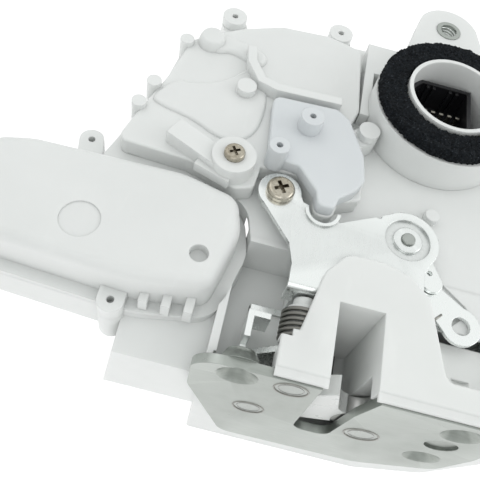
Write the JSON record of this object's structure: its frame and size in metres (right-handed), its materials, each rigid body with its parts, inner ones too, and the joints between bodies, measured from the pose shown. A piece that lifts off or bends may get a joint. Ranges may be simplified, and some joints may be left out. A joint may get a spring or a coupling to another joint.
{
  "type": "door latch actuator",
  "caption": "Vehicle side-door latch with a slotted steel face plate, a white plastic lock actuator case, handle levers and a foam-sealed connector collar.",
  "frame": {"origin": "on the outer face of the face plate, where the axis of the latched striker crosses it", "axes": "+X along the face plate, +Y into the latch, square to the face plate, +Z out of the mouth of the striker slot"},
  "size_m": [0.217, 0.1753, 0.1002],
  "materials": {
    "plate_zinc": "satin zinc plated steel",
    "bright_zinc": "bright zinc plated sheet steel",
    "pin_steel": "zinc plated rivet steel",
    "claw_steel": "hardened steel",
    "spring_steel": "oil-dark spring steel",
    "screw_nickel": "nickel plated, worn",
    "white_case": "satin moulded white",
    "white_latch": "satin moulded white",
    "white_jacket": "smooth moulded white",
    "lid_plastic": "satin moulded bluish white",
    "gear_plastic": "natural gear plastic",
    "black_plastic": "black moulded",
    "foam": "charcoal open-cell foam",
    "rubber_stop": "black moulded rubber",
    "contact_brass": "tinned brass",
    "motor_can": "zinc plated can"
  },
  "bodies": {
    "case_body": {"face_plate": "plate_zinc", "latch_body": "white_latch", "claw_pin": "pin_steel", "claw_spring": "spring_steel", "pawl_pin": "pin_steel", "pawl_spring": "spring_steel", "spring_bush": "white_jacket", "spacer_rivet": "pin_steel", "bump_stop": "rubber_stop", "back_plate": "bright_zinc", "lever_rivet": "pin_steel", "rivet_washer": "bright_zinc", "bracket_screw": "screw_nickel", "cover_screw": "screw_nickel", "main_case": "white_case", "latch_box": "white_case", "case_collar": "white_case", "case_lug": "white_case", "motor_cover": "white_case", "lever_cover": "white_case", "gear_lid": "lid_plastic", "foam_ring": "foam", "connector": "black_plastic", "connector_pins": "contact_brass", "threaded_insert": "plate_zinc", "motor": "motor_can", "wheel_pin": "pin_steel", "sector_pin": "pin_steel", "ajar_switch": "black_plastic", "contact_strips": "contact_brass", "back_cover": "white_case", "back_cover_screws": "screw_nickel"},
    "claw_body": {"claw": "claw_steel", "claw_cover": "white_jacket"},
    "pawl_body": {"pawl": "claw_steel", "pawl_cover": "white_jacket", "pawl_lever": "bright_zinc"},
    "handle_body": {"handle_lever": "bright_zinc", "lever_spring": "spring_steel"},
    "lock_body": {"lock_lever": "bright_zinc"},
    "rotor_body": {"motor_shaft": "pin_steel", "worm": "gear_plastic"},
    "wheel_body": {"worm_wheel": "gear_plastic"},
    "sector_body": {"lock_sector": "gear_plastic"}
  },
  "joints": [
    {"name": "claw_turn", "type": "hinge", "parent": "case_body", "child": "claw_body", "pos_m": [0.0134, 0.0065, 0.0018], "axis": [0, -1, 0], "range_deg": [0, 75], "stiffness_Nm_per_rad": 0.02, "springref_deg": -28.65},
    {"name": "pawl_turn", "type": "hinge", "parent": "case_body", "child": "pawl_body", "pos_m": [-0.016, 0.0065, 0.027], "axis": [0, 1, 0], "range_deg": [0, 12], "stiffness_Nm_per_rad": 0.02, "springref_deg": -22.92},
    {"name": "handle_pull", "type": "hinge", "parent": "case_body", "child": "handle_body", "pos_m": [0.0132, 0.0571, 0.0272], "axis": [0, 0, 1], "range_deg": [0, 25], "stiffness_Nm_per_rad": 0.02, "springref_deg": -22.92},
    {"name": "lock_swing", "type": "hinge", "parent": "case_body", "child": "lock_body", "pos_m": [0.0132, 0.0571, 0.029], "axis": [0, 0, 1], "range_deg": [0, 20]},
    {"name": "sector_swing", "type": "hinge", "parent": "case_body", "child": "sector_body", "pos_m": [-0.0517, 0.0315, 0.0252], "axis": [0, 0, 1], "range_deg": [0, 15]},
    {"name": "wheel_spin", "type": "hinge", "parent": "case_body", "child": "wheel_body", "pos_m": [-0.089, 0.0328, 0.02], "axis": [0, 0, 1], "range_deg": [-98, 0]},
    {"name": "rotor_spin", "type": "hinge", "parent": "case_body", "child": "rotor_body", "pos_m": [-0.089, 0.0462, 0.0142], "axis": [1, 0, 0], "range_deg": [-2540, 0]}
  ],
  "couplings": [
    {"joint": "wheel_spin", "follows": "sector_swing", "ratio": -6.5},
    {"joint": "rotor_spin", "follows": "sector_swing", "ratio": -169}
  ]
}
